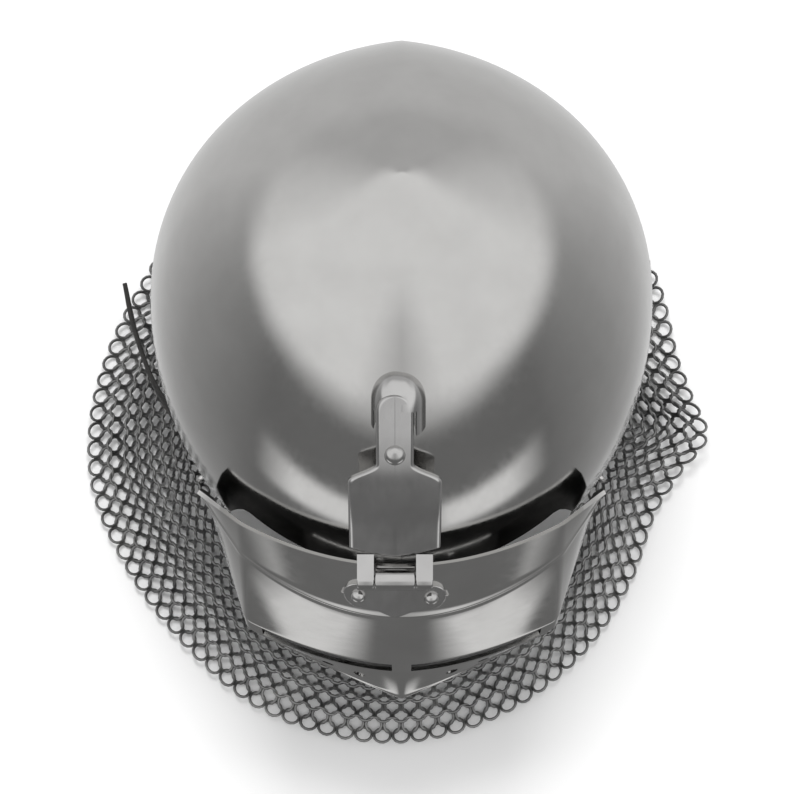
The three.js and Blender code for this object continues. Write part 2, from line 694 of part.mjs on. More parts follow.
addPiece('skull', makeSkull(), steel);
addPiece('hinge_boss', makeHingeBoss(), steel);
addPiece('hinge_plate', makeHingePlate(), steel);
addPiece('hinge_plate_rivet', makePlateRivet(), steel);
addPiece('hinge_pin', hingeCylinder(PIN_RADIUS, -KNUCKLE_REACH, KNUCKLE_REACH), darkSteel);
addPiece('visor', makeVisor(), steel);
addPiece('visor_hinge_leaf', makeLeaf(), steel);
addPiece('leaf_rivet_left', makeLeafRivet(1), steel);
addPiece('leaf_rivet_right', makeLeafRivet(-1), steel);
addPiece('aventail_band', makeBand(), leather);
VERVELLE_PLACES.forEach((share, i) => {
  addPiece(`vervelle_left_${i + 1}`, makeVervelle(share / 2), steel);
  addPiece(`vervelle_right_${i + 1}`, makeVervelle(1 - share / 2), steel);
});
addPiece('aventail', makeAventail(), mail);

export default bascinet;
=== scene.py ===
import bpy
import mathutils
import numpy as np
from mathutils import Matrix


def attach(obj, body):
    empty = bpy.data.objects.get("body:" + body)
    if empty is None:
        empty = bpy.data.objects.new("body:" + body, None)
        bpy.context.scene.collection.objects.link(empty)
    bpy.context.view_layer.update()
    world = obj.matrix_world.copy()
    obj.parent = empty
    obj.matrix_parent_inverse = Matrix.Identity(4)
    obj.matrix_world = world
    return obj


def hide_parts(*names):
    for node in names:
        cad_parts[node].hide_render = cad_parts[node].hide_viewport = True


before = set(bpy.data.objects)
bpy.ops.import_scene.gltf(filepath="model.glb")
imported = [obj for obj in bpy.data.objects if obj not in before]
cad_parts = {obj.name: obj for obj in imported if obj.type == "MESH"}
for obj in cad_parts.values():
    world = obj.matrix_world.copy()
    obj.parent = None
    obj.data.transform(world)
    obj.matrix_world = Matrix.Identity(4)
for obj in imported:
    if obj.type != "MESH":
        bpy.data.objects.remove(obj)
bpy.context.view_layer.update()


# Skull
# The bowl of the helmet, raised from one sheet of steel, ground and polished by hand. Its two sides meet
# in a low ridge over the apex, and its edge is cut high over the face and level round the neck.

SKULL_WALL = 1.8
SKULL_BROW = 7.1
SKULL_FACE_EDGE = (0.2, 0.31)
# Level sections from the apex to the rim: z, front, back, half width, y of the widest place, front and
# back keel.
SKULL_SECTIONS = np.array([
    [278, 19.5, 19.5, 0, 19.5, 0.16, 0.2],
    [274.5, 6, 33, 13, 19, 0.16, 0.2],
    [267, -15, 51, 31, 18, 0.15, 0.2],
    [255, -38, 69.5, 52, 17, 0.14, 0.19],
    [238, -60, 86.5, 71, 16, 0.13, 0.18],
    [215, -81, 100, 87, 16, 0.11, 0.16],
    [187, -98, 111, 98.5, 15, 0.09, 0.12],
    [155, -107, 118.5, 105.5, 14, 0.07, 0.08],
    [122, -108, 121.5, 107, 13, 0.05, 0.05],
    [85, -103, 120.5, 105.5, 13, 0.03, 0.03],
    [42, -94, 116.5, 101.5, 13, 0.02, 0.02],
    [0, -86, 111, 96.5, 13, 0, 0],
])


def ease(low, high, value):
    """Smooth step: 3 s^2 - 2 s^3 of the share s of value between low and high, held at both ends."""
    share = np.clip((value - low) / (high - low), 0, 1)
    return share * share * (3 - 2 * share)


def along(rows, place, closed=False):
    """Cubic through the two table rows beside a place, with the slopes of their neighbours."""
    rows = np.asarray(rows, float)
    place = np.asarray(place, float)
    if closed:
        padded = np.concatenate([rows[-1:], rows, rows[:2]])
    else:
        padded = np.concatenate([2 * rows[:1] - rows[1:2], rows, 2 * rows[-1:] - rows[-2:-1]])
    row = np.clip(np.floor(place).astype(int), 0, len(padded) - 4)
    t = (place - row)[..., None]
    a, b, c, d = padded[row], padded[row + 1], padded[row + 2], padded[row + 3]
    return b + 0.5 * t * (c - a + t * (2 * a - 5 * b + 4 * c - d + t * (3 * (b - c) + d - a)))


def skull_point(turn, level):
    """Point of the outer face. turn goes round from the front by +X; each side of a section is an arc of
    an ellipse whose centre lies beyond the medial plane by keel times half width."""
    turn, level = np.broadcast_arrays(np.asarray(turn, float) % 1, np.asarray(level, float))
    z, front, back, half, wide, keel_front, keel_back = np.moveaxis(along(SKULL_SECTIONS, level), -1, 0)
    share = np.minimum(turn, 1 - turn) * 2
    forward = share < 0.5
    inset = np.where(forward, keel_front, keel_back) * half
    start = np.arcsin(inset / np.maximum(half + inset, 1e-9))
    angle = start + (np.pi / 2 - start) * np.where(forward, share * 2, 2 - share * 2)
    x = (half + inset) * np.sin(angle) - inset
    y = wide - (wide - np.where(forward, front, back)) * np.cos(angle) / np.cos(start)
    return np.stack([np.where(turn > 0.5, -x, x), y, z], -1)


def normals(grid, closed=False):
    """Unit normals of a grid: cross product of the differences down its rows and across its columns."""
    if closed:
        across = np.roll(grid, -1, 1) - np.roll(grid, 1, 1)
    else:
        across = np.gradient(grid, axis=1)
    out = np.cross(np.gradient(grid, axis=0), across)
    return out / np.maximum(np.linalg.norm(out, axis=-1, keepdims=True), 1e-12)


def loft(rings):
    """Closed shell through rings of points: quads between neighbours, and each end fanned to its mean."""
    count, around = rings.shape[:2]
    index = np.arange(count * around).reshape(count, around)
    after = np.roll(index, -1, 1)
    quads = np.stack([index[:-1], index[1:], after[1:], after[:-1]], -1).reshape(-1, 4)
    first = np.stack([np.full(around, count * around), index[0], after[0]], -1)
    last = np.stack([np.full(around, count * around + 1), after[-1], index[-1]], -1)
    ends = np.stack([rings[0].mean(0), rings[-1].mean(0)])
    return np.concatenate([rings.reshape(-1, 3), ends]), quads, np.concatenate([first, last])


def piece(name, shells, material, body, nodes, sharp=40):
    """Object from shells of (points, quads, triangles) in millimetres. A shell whose signed volume is
    below zero is turned over, and edges sharper than the given degrees are shaded sharp."""
    points, faces, start = [], [], 0
    for shell, quads, triangles in shells:
        split = np.concatenate([quads[:, [0, 1, 2]], quads[:, [0, 2, 3]], triangles])
        corners = shell[split]
        volume = np.einsum("ij,ij->i", corners[:, 0], np.cross(corners[:, 1], corners[:, 2])).sum()
        turn = 1 if volume > 0 else -1
        points.append(shell)
        faces += (quads[:, ::turn] + start).tolist() + (triangles[:, ::turn] + start).tolist()
        start += len(shell)
    mesh = bpy.data.meshes.new(name)
    mesh.from_pydata(np.concatenate(points) * 0.001, [], faces)
    mesh.shade_smooth()
    mesh.set_sharp_from_angle(angle=np.radians(sharp))
    mesh.materials.append(material)
    thing = bpy.data.objects.new(name, mesh)
    bpy.context.collection.objects.link(thing)
    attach(thing, body)
    if nodes:
        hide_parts(*nodes)
    return thing


def steel(name, dark, light, rough, polish=(1, 1, 1), dents=0.05):
    """Polished steel: a soft cloud moves the colour between two greys, drawn-out streaks move the
    roughness between two values, and a broad low swell bends the reflections like hammer work."""
    material = bpy.data.materials.new(name)
    material.use_nodes = True
    nodes, links = material.node_tree.nodes, material.node_tree.links
    shader = nodes["Principled BSDF"]
    shader.inputs["Metallic"].default_value = 1
    place = nodes.new("ShaderNodeTexCoord")
    cloud = nodes.new("ShaderNodeTexNoise")
    cloud.inputs["Scale"].default_value = 55
    cloud.inputs["Detail"].default_value = 6
    tone = nodes.new("ShaderNodeValToRGB")
    tone.color_ramp.elements[0].position = 0.3
    tone.color_ramp.elements[0].color = (*dark, 1)
    tone.color_ramp.elements[1].position = 0.7
    tone.color_ramp.elements[1].color = (*light, 1)
    stretch = nodes.new("ShaderNodeMapping")
    stretch.inputs["Scale"].default_value = polish
    streaks = nodes.new("ShaderNodeTexNoise")
    streaks.inputs["Scale"].default_value = 420
    streaks.inputs["Detail"].default_value = 5
    spread = nodes.new("ShaderNodeMapRange")
    spread.inputs["From Min"].default_value = 0.3
    spread.inputs["From Max"].default_value = 0.7
    spread.inputs["To Min"].default_value = rough[0]
    spread.inputs["To Max"].default_value = rough[1]
    swell = nodes.new("ShaderNodeTexNoise")
    swell.inputs["Scale"].default_value = 38
    swell.inputs["Detail"].default_value = 1
    bend = nodes.new("ShaderNodeBump")
    bend.inputs["Strength"].default_value = dents
    bend.inputs["Distance"].default_value = 0.002
    scratch = nodes.new("ShaderNodeBump")
    scratch.inputs["Strength"].default_value = 0.02
    scratch.inputs["Distance"].default_value = 0.0002
    for noise in (cloud, swell):
        links.new(place.outputs["Object"], noise.inputs["Vector"])
    links.new(place.outputs["Object"], stretch.inputs["Vector"])
    links.new(stretch.outputs["Vector"], streaks.inputs["Vector"])
    links.new(cloud.outputs["Fac"], tone.inputs["Fac"])
    links.new(tone.outputs["Color"], shader.inputs["Base Color"])
    links.new(streaks.outputs["Fac"], spread.inputs["Value"])
    links.new(spread.outputs["Result"], shader.inputs["Roughness"])
    links.new(swell.outputs["Fac"], bend.inputs["Height"])
    links.new(streaks.outputs["Fac"], scratch.inputs["Height"])
    links.new(bend.outputs["Normal"], scratch.inputs["Normal"])
    links.new(scratch.outputs["Normal"], shader.inputs["Normal"])
    return material


skull_steel = steel("skull_steel", (0.535, 0.53, 0.52), (0.575, 0.57, 0.56), (0.09, 0.15), polish=(1, 1, 0.12))
quarter = np.linspace(0, 0.25, 61)
quarter = quarter - 0.6 * np.sin(quarter * 4 * np.pi) / (4 * np.pi)
skull_turn = np.concatenate([quarter[:-1], 0.5 - quarter[:0:-1], 0.5 + quarter[:-1], 1 - quarter[:0:-1]])
skull_share = np.minimum(skull_turn, 1 - skull_turn) * 2
skull_low = SKULL_BROW + (11 - SKULL_BROW) * ease(*SKULL_FACE_EDGE, skull_share)
skull_rows = np.linspace(0.0004, 1, 90)[:, None]
skull_level = SKULL_BROW * np.minimum(1, skull_rows / 0.72)
skull_level = skull_level + (skull_low - SKULL_BROW) * np.maximum(0, (skull_rows - 0.72) / 0.28)
skull_outer = skull_point(skull_turn[None, :], skull_level)
skull_inner = skull_outer - SKULL_WALL * normals(skull_outer, closed=True)
skull_inner[-1, skull_low > 10.999, 2] = 0
skull_edge = skull_outer[-1] * 0.5 + skull_inner[-1] * 0.5
skull_rings = np.concatenate([skull_outer, skull_edge[None], skull_inner[::-1]])
skull = piece("skull_plate", [loft(skull_rings)], skull_steel, "helmet", ["skull"])
skull_ends = np.empty(len(skull.data.edges) * 2, int)
skull.data.edges.foreach_get("vertices", skull_ends)
skull_across = np.append(skull_rings.reshape(-1, 3)[:, 0], [0, 0])[skull_ends.reshape(-1, 2)]
skull_sharp = np.empty(len(skull.data.edges), bool)
skull.data.edges.foreach_get("use_edge_sharp", skull_sharp)
skull.data.edges.foreach_set("use_edge_sharp", skull_sharp | (np.abs(skull_across).max(1) < 1e-6))


# Hinge boss
# The raised socket on the ridge that takes the end of the hinge's tongue. A small steel dome, hollowed
# from below into a horseshoe and fixed to the skull.

BOSS_LEVELS = (4.3, 3.48)
BOSS_HALF = 10.4
BOSS_HEIGHT = 7.6
BOSS_EDGE = 0.1
BOSS_ROUNDED = 0.42
HINGE_X = -2.7
TONGUE_HALF = 7.2
TONGUE_LENGTH = 30
SHOULDER_LENGTH = 9
PLATE_HALF = 18
PLATE_LINE = np.array([[-58.6, 249.8], [-77.1, 233], [-86.8, 223.1], [-97.2, 210.3], [-108.5, 191.5]])


def skull_front(x, level):
    """Front of the skull at x: y of the arc of the section's ellipse at that x, and the section's z."""
    z, front, back, half, wide, keel, keel_back = np.moveaxis(along(SKULL_SECTIONS, level), -1, 0)
    inset = keel * half
    flat = np.sqrt((half + inset) ** 2 - (np.abs(x) + inset) ** 2)
    y = wide - (wide - front) * flat / np.sqrt((half + inset) ** 2 - inset ** 2)
    return np.stack([x + 0 * y, y, z], -1)


def plate_half_width(distance):
    """Half width of the hinge plate: a round end, a straight tongue and an eased flare to full width."""
    inside = np.clip(TONGUE_HALF - distance, 0, TONGUE_HALF)
    flare = ease(TONGUE_LENGTH, TONGUE_LENGTH + SHOULDER_LENGTH, distance)
    return np.sqrt(TONGUE_HALF ** 2 - inside ** 2) + (PLATE_HALF - TONGUE_HALF) * flare


boss_u = np.linspace(-1, 1, 111)[None, :]
boss_v = np.sin(np.linspace(0, np.pi / 2, 100))[:, None]
boss_end = np.maximum(0, (boss_v - BOSS_ROUNDED) / (1 - BOSS_ROUNDED))
boss_x = boss_u * BOSS_HALF * np.sqrt(np.maximum(0, 1 - boss_end ** 2))
boss_level = BOSS_LEVELS[0] + (BOSS_LEVELS[1] - BOSS_LEVELS[0]) * boss_v + 0 * boss_u
boss_seat = skull_front(boss_x + HINGE_X / 2, boss_level)
boss_run = skull_front(boss_x + HINGE_X / 2, boss_level - 0.05) - boss_seat
boss_run = boss_run / np.linalg.norm(boss_run, axis=-1, keepdims=True)
boss_out = np.stack([0 * boss_x, -boss_run[..., 2], boss_run[..., 1]], -1)
boss_dome = np.maximum(0, 1 - boss_u ** 4) ** 0.7 * np.maximum(0, 1 - boss_end ** 3) ** 0.7
boss_rise = BOSS_EDGE + (BOSS_HEIGHT - BOSS_EDGE) * boss_dome
boss_down = np.hypot(boss_seat[..., 1] - PLATE_LINE[0, 0], boss_seat[..., 2] - PLATE_LINE[0, 1])
boss_down = boss_down * np.sign(PLATE_LINE[0, 0] - boss_seat[..., 1])
boss_across = np.abs(boss_seat[..., 0] - HINGE_X)
boss_tip = np.hypot(np.maximum(0, TONGUE_HALF - boss_down), boss_across)
boss_open = ease(TONGUE_HALF + 0.9, TONGUE_HALF + 0.4, boss_tip)
boss_top = boss_seat + boss_out * (boss_rise * (1 - boss_open) - 0.4 * boss_open)[..., None]
boss_low = boss_seat - 0.8 * boss_out


def slab(top, low, keep=None):
    """Closed wall between two faces of one grid: quads on both faces, and on every edge of the kept cells
    a quad from one face to the other."""
    rows, columns = top.shape[:2]
    index = np.arange(rows * columns).reshape(rows, columns)
    if keep is None:
        keep = np.ones((rows - 1, columns - 1), bool)
    cells = np.stack([index[:-1, :-1], index[1:, :-1], index[1:, 1:], index[:-1, 1:]], -1)[keep]
    near = np.pad(keep, 1)
    upper, lower = near[:-1, 1:-1], near[1:, 1:-1]
    left, right = near[1:-1, :-1], near[1:-1, 1:]
    level = np.stack([index[:, :-1], index[:, 1:]], -1)
    upright = np.stack([index[1:, :], index[:-1, :]], -1)
    rims = np.concatenate([
        level[lower & ~upper], level[upper & ~lower][:, ::-1],
        upright[right & ~left], upright[left & ~right][:, ::-1],
    ])
    under = rows * columns
    walls = np.concatenate([rims, rims[:, ::-1] + under], 1)
    quads = np.concatenate([cells, cells[:, ::-1] + under, walls])
    used, quads = np.unique(quads, return_inverse=True)
    points = np.concatenate([top.reshape(-1, 3), low.reshape(-1, 3)])[used]
    return points, quads.reshape(-1, 4), np.zeros((0, 3), int)


hinge_steel = steel("hinge_steel", (0.48, 0.475, 0.47), (0.56, 0.555, 0.55), (0.13, 0.2), polish=(1, 0.3, 0.3))
piece("hinge_boss_dome", [slab(boss_top[::-1], boss_low[::-1])], hinge_steel, "helmet",
      ["hinge_boss"], sharp=50)


# Hinge plate
# The fixed half of the visor's hinge: a forged steel tongue that widens downwards, creased along the
# ridge, with two knuckles rolled at its lower corners. One domed rivet holds it to the skull.

PLATE_THICKNESS = 2.2
PLATE_KEEL = 0.12
PLATE_BOW = 3
PLATE_ROUND = 1.5
HINGE_AXIS = np.array([-115.3, 183])
KNUCKLE_RADIUS = 4.4
KNUCKLE_START = 8.3
KNUCKLE_REACH = 14.9
EAR_SEAT = np.array([-105.5, 186])
RIVET_DOME = 2.2

plate_fine = along(PLATE_LINE, np.linspace(0, 4, 801))
plate_run = np.concatenate([[0], np.cumsum(np.hypot(*np.diff(plate_fine, axis=0).T))])
plate_slope = np.gradient(plate_fine, plate_run, axis=0)
PLATE_LENGTH = plate_run[-1]


def plate_point(distance, x, height):
    """Point above the plate's line: out along the line's normal by height less the keel's fall."""
    y, z = (np.interp(distance, plate_run, plate_fine[:, i]) for i in (0, 1))
    run_y, run_z = (np.interp(distance, plate_run, plate_slope[:, i]) for i in (0, 1))
    rise = height - PLATE_KEEL * np.abs(x)
    return np.stack([HINGE_X + x + 0 * y, y + run_z * rise, z - run_y * rise], -1)


def rounded(inside, radius):
    """Fall of a rounded edge: radius less the height of a quarter circle, from the distance inside it."""
    short = np.clip(radius - inside, 0, radius)
    return radius - np.sqrt(radius ** 2 - short ** 2)


def rod(radius, start, end, edge=0.5, sides=40):
    """Rings of a rod along the hinge's axis: circles whose radius falls away in a quarter round."""
    turn = np.linspace(0, 2 * np.pi, sides, endpoint=False)
    bend = np.linspace(0, np.pi / 2, 5)
    x = np.concatenate([start + edge * (1 - np.sin(bend)), end - edge * (1 - np.sin(bend))[::-1]])
    x = np.sort(x)
    size = radius - rounded(np.minimum(x - start, end - x), edge)
    ring = np.stack([np.cos(turn), np.sin(turn)], -1)
    spot = HINGE_AXIS + size[:, None, None] * ring
    return np.concatenate([np.broadcast_to((HINGE_X + x)[:, None, None], spot.shape[:2] + (1,)), spot], -1)


def web(seat, low, high, start, end):
    """Rings of a flat arm from the hinge's axis to a seat beside it: rectangles across the run, from a
    low to a high distance square to it."""
    run = seat - HINGE_AXIS
    side = np.array([-run[1], run[0]]) / np.linalg.norm(run)
    share = np.linspace(0, 1, 4)[:, None, None]
    corner = np.stack([side * low, side * high, side * high, side * low])
    spot = HINGE_AXIS + share * run + corner
    x = HINGE_X + np.array([start, start, end, end])
    return np.concatenate([np.broadcast_to(x[None, :, None], spot.shape[:2] + (1,)), spot], -1)


plate_u = np.sin(np.linspace(-np.pi / 2, np.pi / 2, 61))[None, :]
plate_v = (1 - np.cos(np.linspace(0.02, np.pi, 120)))[:, None] / 2
plate_distance = plate_v * (PLATE_LENGTH - PLATE_BOW * plate_u ** 2)
plate_half = plate_half_width(plate_distance)
plate_inside = np.minimum(plate_half * (1 - np.abs(plate_u)), PLATE_LENGTH * (1 - plate_v))
plate_fall = rounded(plate_inside, PLATE_ROUND)
plate_top = plate_point(plate_distance, plate_u * plate_half, -plate_fall)
plate_low = plate_point(plate_distance, plate_u * plate_half, -PLATE_THICKNESS)
plate_shells = [slab(plate_top, plate_low)]
for start, end in ((-KNUCKLE_REACH, -KNUCKLE_START), (KNUCKLE_START, KNUCKLE_REACH)):
    plate_shells.append(loft(rod(KNUCKLE_RADIUS, start, end)))
    plate_shells.append(loft(web(EAR_SEAT, 0.5, KNUCKLE_RADIUS - 0.05, start, end)))
piece("hinge_plate_tongue", plate_shells, hinge_steel, "helmet", ["hinge_plate"])


def rivet(seat, out, radius, dome):
    """Rings of a domed head: circles of radius cos(a) at height dome sin(a) along out, over a short rim."""
    side = np.cross(out, [1.0, 0, 0])
    side = side / np.linalg.norm(side)
    other = np.cross(out, side)
    bend = np.linspace(0, np.pi / 2 - 0.05, 12)
    turn = np.linspace(0, 2 * np.pi, 36, endpoint=False)
    size = np.concatenate([[radius], radius * np.cos(bend) ** 0.85])
    rise = np.concatenate([[-0.6], dome * np.sin(bend)])
    ring = np.cos(turn)[:, None] * side + np.sin(turn)[:, None] * other
    return seat + size[:, None, None] * ring + rise[:, None, None] * out


PLATE_RIVET_AT = 25
rivet_slope = np.array([np.interp(PLATE_RIVET_AT, plate_run, plate_slope[:, i]) for i in (0, 1)])
rivet_out = np.array([0, rivet_slope[1], -rivet_slope[0]])
rivet_seat = plate_point(PLATE_RIVET_AT, 0.0, 0.3)
piece("plate_rivet_head", [loft(rivet(rivet_seat, rivet_out, 4, RIVET_DOME))], hinge_steel, "helmet",
      ["hinge_plate_rivet"])


# Hinge pin
# A plain steel wire through the knuckles, on which the visor swings. Its ends show at the two sides.

pin_steel = steel("pin_steel", (0.20, 0.19, 0.18), (0.34, 0.33, 0.32), (0.3, 0.45))
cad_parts["hinge_pin"].data.materials.clear()
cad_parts["hinge_pin"].data.materials.append(pin_steel)


# Visor
# The face plate, beaten from one sheet of steel into a sloping brow, a lip over the sights, a snout and
# a chin, polished outside, with painted shade inside: its inner face is coloured near-black so that the gap
# between visor and skull reads dark. The sights and breath holes are cut through it.

VISOR_WALL = 1.8
VISOR_CORNER = 0.625
# Rows from the top edge to the chin: y and z on the medial plane, power of the curve to the corner, the
# corner's x, y, z and the rear edge's x, y, z.
VISOR_ROWS = np.array([
    [-109.5, 179, 2, 66, -89.5, 165, 84, -74.7, 156],
    [-126.5, 160, 2, 66, -98.5, 152, 84, -72, 149],
    [-141, 129.5, 1.75, 65, -122.3, 128, 83, -68.5, 127],
    [-143.5, 122.5, 1.75, 64.5, -124.8, 122.5, 82.5, -69, 121],
    [-152.4, 108, 1.05, 63, -124, 112, 81, -69.5, 111],
    [-147, 86, 1.2, 57, -120, 88, 78, -69.5, 88],
    [-136, 54, 1.3, 49, -114, 55, 73, -71, 55],
    [-123, 22, 1.5, 41, -108, 22, 66, -71, 24],
])
SLIT_PLACES = (2.13, 2.871)
SLIT_SHARES = (0.0386, 0.56)
BREATH_X = (-30.6, -17.5, 20.9, 34)
BREATH_PLACE = 3.5
BREATH_SIZE = (0.0235, 0.141)
BEAD_PLACES = (1, 4)
BEAD_HEIGHT = 0.45
BEAD_WIDTH = 0.04


def visor_line(side, row):
    """Row of the visor at a share from the medial plane: x in proportion, y and z by a power of it, then
    straight from the corner to the rear edge."""
    y, z, power, corner_x, corner_y, corner_z, rear_x, rear_y, rear_z = np.moveaxis(VISOR_ROWS[row], -1, 0)
    share = np.minimum(side / VISOR_CORNER, 1)
    bend = share ** power
    rear = np.maximum(0, (side - VISOR_CORNER) / (1 - VISOR_CORNER))
    return np.stack([
        corner_x * share + (rear_x - corner_x) * rear,
        y + (corner_y - y) * bend + (rear_y - corner_y) * rear,
        z + (corner_z - z) * bend + (rear_z - corner_z) * rear,
    ], -1)


def visor_point(across, place):
    """Point of the outer face: straight between two rows, and mirrored for shares below zero."""
    across, place = np.broadcast_arrays(across, place)
    row = np.clip(np.floor(place).astype(int), 0, len(VISOR_ROWS) - 2)
    share = (place - row)[..., None]
    side = np.abs(across)
    point = visor_line(side, row) * (1 - share) + visor_line(side, row + 1) * share
    return point * np.stack([np.sign(across), 1 + 0 * across, 1 + 0 * across], -1)


def visor_soft(across, place, fold=0.035, edge=0.014):
    """The outer face with its folds rounded: the mean of the points a little beside and above it."""
    total = 0
    for step in np.linspace(-1, 1, 5):
        for turn in np.linspace(-1, 1, 5):
            total = total + visor_point(across + edge * turn, place + fold * step)
    return total / 25


def filled(knots, step):
    """Grid lines through all the knots, with even lines between them no more than a step apart."""
    lines = [np.linspace(a, b, int(np.ceil((b - a) / step - 1e-9)) + 1) for a, b in zip(knots, knots[1:])]
    return np.unique(np.round(np.concatenate(lines), 7))


visor_holes = np.array(BREATH_X) / 63 * VISOR_CORNER
hole_lines = visor_holes[:, None] + BREATH_SIZE[0] * np.array([-2, 2])
visor_knots = np.concatenate([hole_lines.ravel(), [-1, -0.625, -SLIT_SHARES[1], -SLIT_SHARES[0], 0],
                              [SLIT_SHARES[0], SLIT_SHARES[1], 0.625, 1]])
visor_columns = filled(np.sort(visor_knots), 0.0125)
hole_fine = (visor_holes[:, None] + BREATH_SIZE[0] * np.linspace(-2, 2, 17)).ravel()
beside_holes = np.abs(visor_columns[:, None] - visor_holes).min(1) > 2 * BREATH_SIZE[0]
visor_columns = np.unique(np.round(np.concatenate([visor_columns[beside_holes], hole_fine]), 7))
visor_steps = np.linspace(0, 1, 15)
visor_steps = visor_steps - 0.75 * np.sin(visor_steps * 2 * np.pi) / (2 * np.pi)
visor_lines = np.unique(np.round((np.arange(7)[:, None] + visor_steps).ravel(), 7))
beside_slit = np.abs(visor_lines[:, None] - np.array(SLIT_PLACES)).min(1) > 0.02
beside_row = np.abs(visor_lines - BREATH_PLACE) > 2 * BREATH_SIZE[1]
breath_lines = BREATH_PLACE + BREATH_SIZE[1] * np.linspace(-2, 2, 17)
visor_lines = np.sort(np.concatenate([visor_lines[beside_slit & beside_row], SLIT_PLACES, breath_lines]))
visor_across, visor_place = np.meshgrid(visor_columns, visor_lines)
cell_across = (visor_across[1:, 1:] + visor_across[:-1, :-1]) / 2
cell_place = (visor_place[1:, 1:] + visor_place[:-1, :-1]) / 2
visor_keep = ~((np.abs(cell_across) > SLIT_SHARES[0]) & (np.abs(cell_across) < SLIT_SHARES[1])
               & (cell_place > SLIT_PLACES[0]) & (cell_place < SLIT_PLACES[1]))
for middle in visor_holes:
    # The square block of lines round a hole is turned into circles at the hole and squares at its rim.
    a = (visor_across - middle) / BREATH_SIZE[0]
    b = (visor_place - BREATH_PLACE) / BREATH_SIZE[1]
    size = np.maximum(np.abs(a), np.abs(b))
    round_off = size / np.maximum(np.hypot(a, b), 1e-9)
    blend = np.where(size < 2, round_off + (1 - round_off) * np.clip(size - 1, 0, 1), 1)
    visor_across = np.where(size < 2, middle + a * blend * BREATH_SIZE[0], visor_across)
    visor_place = np.where(size < 2, BREATH_PLACE + b * blend * BREATH_SIZE[1], visor_place)
    a_cell = np.abs(cell_across - middle) / BREATH_SIZE[0]
    b_cell = np.abs(cell_place - BREATH_PLACE) / BREATH_SIZE[1]
    visor_keep &= ~(np.maximum(a_cell, b_cell) < 1)
visor_outer = visor_soft(visor_across, visor_place)
visor_bead = sum(BEAD_HEIGHT * np.exp(-((visor_place - place) / BEAD_WIDTH) ** 2) for place in BEAD_PLACES)
visor_out = normals(visor_outer)
visor_inner = visor_outer - VISOR_WALL * visor_out
visor_outer = visor_outer + visor_out * visor_bead[..., None]
visor_steel = steel("visor_steel", (0.535, 0.53, 0.52), (0.575, 0.57, 0.56), (0.09, 0.15), polish=(0.15, 1, 1))
visor = piece("visor_plate", [slab(visor_outer, visor_inner, visor_keep)], visor_steel, "visor",
              ["visor"])
# Painted shade: the inner faces get a near-black, rough steel that stands in for the shade between visor and
# skull.
visor_inside_painted_shade = steel("visor_inside_painted_shade", (0.03, 0.03, 0.03), (0.07, 0.068, 0.065), (0.5, 0.65), dents=0.1)
visor.data.materials.append(visor_inside_painted_shade)
visor_shade_faces = np.zeros(len(visor.data.polygons), int)
visor_shade_faces[visor_keep.sum():2 * visor_keep.sum()] = 1
visor.data.polygons.foreach_set("material_index", visor_shade_faces)
visor_edge = visor.modifiers.new("rounded_edges", "BEVEL")
visor_edge.width = 0.0005
visor_edge.segments = 2
visor_edge.limit_method = "ANGLE"
visor_edge.angle_limit = np.radians(50)


# Visor hinge leaf
# The moving half of the hinge: a steel leaf with two round lobes and a pointed lower edge, rolled round
# the pin in the middle knuckle. Two domed rivets hold it on the brow of the visor.

LEAF_HEIGHT = 1.9
LEAF_PLACES = (0.02, 0.96)
LEAF_NECK = 9
LOBE_X = 14.4
LOBE_AT = 0.6
LOBE_RADIUS = 6
BARREL_HALF = 7.9
band_height = np.linalg.norm(visor_point(0.0, 0.0) - visor_point(0.0, 1.0))


def leaf_half_width(place):
    """Half width of the leaf: the neck, the circle of a lobe, or below it a straight taper to the tip."""
    off = (place - LOBE_AT) * band_height
    lobe = np.where(np.abs(off) < LOBE_RADIUS, LOBE_X + np.sqrt(np.maximum(0, LOBE_RADIUS ** 2 - off ** 2)), 0)
    taper = (LEAF_PLACES[1] - place) / (LEAF_PLACES[1] - LOBE_AT) * (LOBE_X + LOBE_RADIUS) + 1
    return np.maximum(lobe, np.where(place < LOBE_AT, LEAF_NECK, taper))


def leaf_point(x, place, height):
    """Point above the visor's brow: out along its normal by a height."""
    across = (HINGE_X + x) / 66 * VISOR_CORNER
    step = 0.01
    run = visor_point(across + step, place) - visor_point(across - step, place)
    rise = visor_point(across, place - step) - visor_point(across, place + step)
    out = np.cross(run, rise)
    out = out / np.linalg.norm(out, axis=-1, keepdims=True)
    return visor_soft(across, place) + out * np.asarray(height)[..., None]


leaf_u = np.sin(np.linspace(-np.pi / 2, np.pi / 2, 61))[None, :]
leaf_place = np.linspace(*LEAF_PLACES, 90)[:, None] + 0 * leaf_u
leaf_half = leaf_half_width(leaf_place)
leaf_inside = np.minimum(leaf_half * (1 - np.abs(leaf_u)), (LEAF_PLACES[1] - leaf_place) * band_height)
leaf_top = leaf_point(leaf_u * leaf_half, leaf_place, LEAF_HEIGHT - rounded(leaf_inside, 0.7))
leaf_low = leaf_point(leaf_u * leaf_half, leaf_place, 0 * leaf_half - 0.2)
leaf_seat = leaf_point(0.0, 0.1, 1.1)
leaf_shells = [
    slab(leaf_top, leaf_low),
    loft(rod(KNUCKLE_RADIUS, -BARREL_HALF, BARREL_HALF)),
    loft(web(leaf_seat[1:], -2, 2, -BARREL_HALF, BARREL_HALF)),
]
piece("visor_leaf", leaf_shells, hinge_steel, "visor", ["visor_hinge_leaf"])
for side, word in ((1, "left"), (-1, "right")):
    lobe_seat = leaf_point(side * LOBE_X, LOBE_AT, 2.1)
    lobe_out = leaf_point(side * LOBE_X, LOBE_AT, 3.1) - lobe_seat
    piece(f"leaf_rivet_head_{word}", [loft(rivet(lobe_seat, lobe_out, 3, RIVET_DOME))], hinge_steel, "visor",
          [f"leaf_rivet_{word}"])


# Aventail band
# A strip of black leather round the rim that carries the mail. It is cut from one hide, held by the
# staples, and its pointed loose end springs away from the skull on the wearer's right.

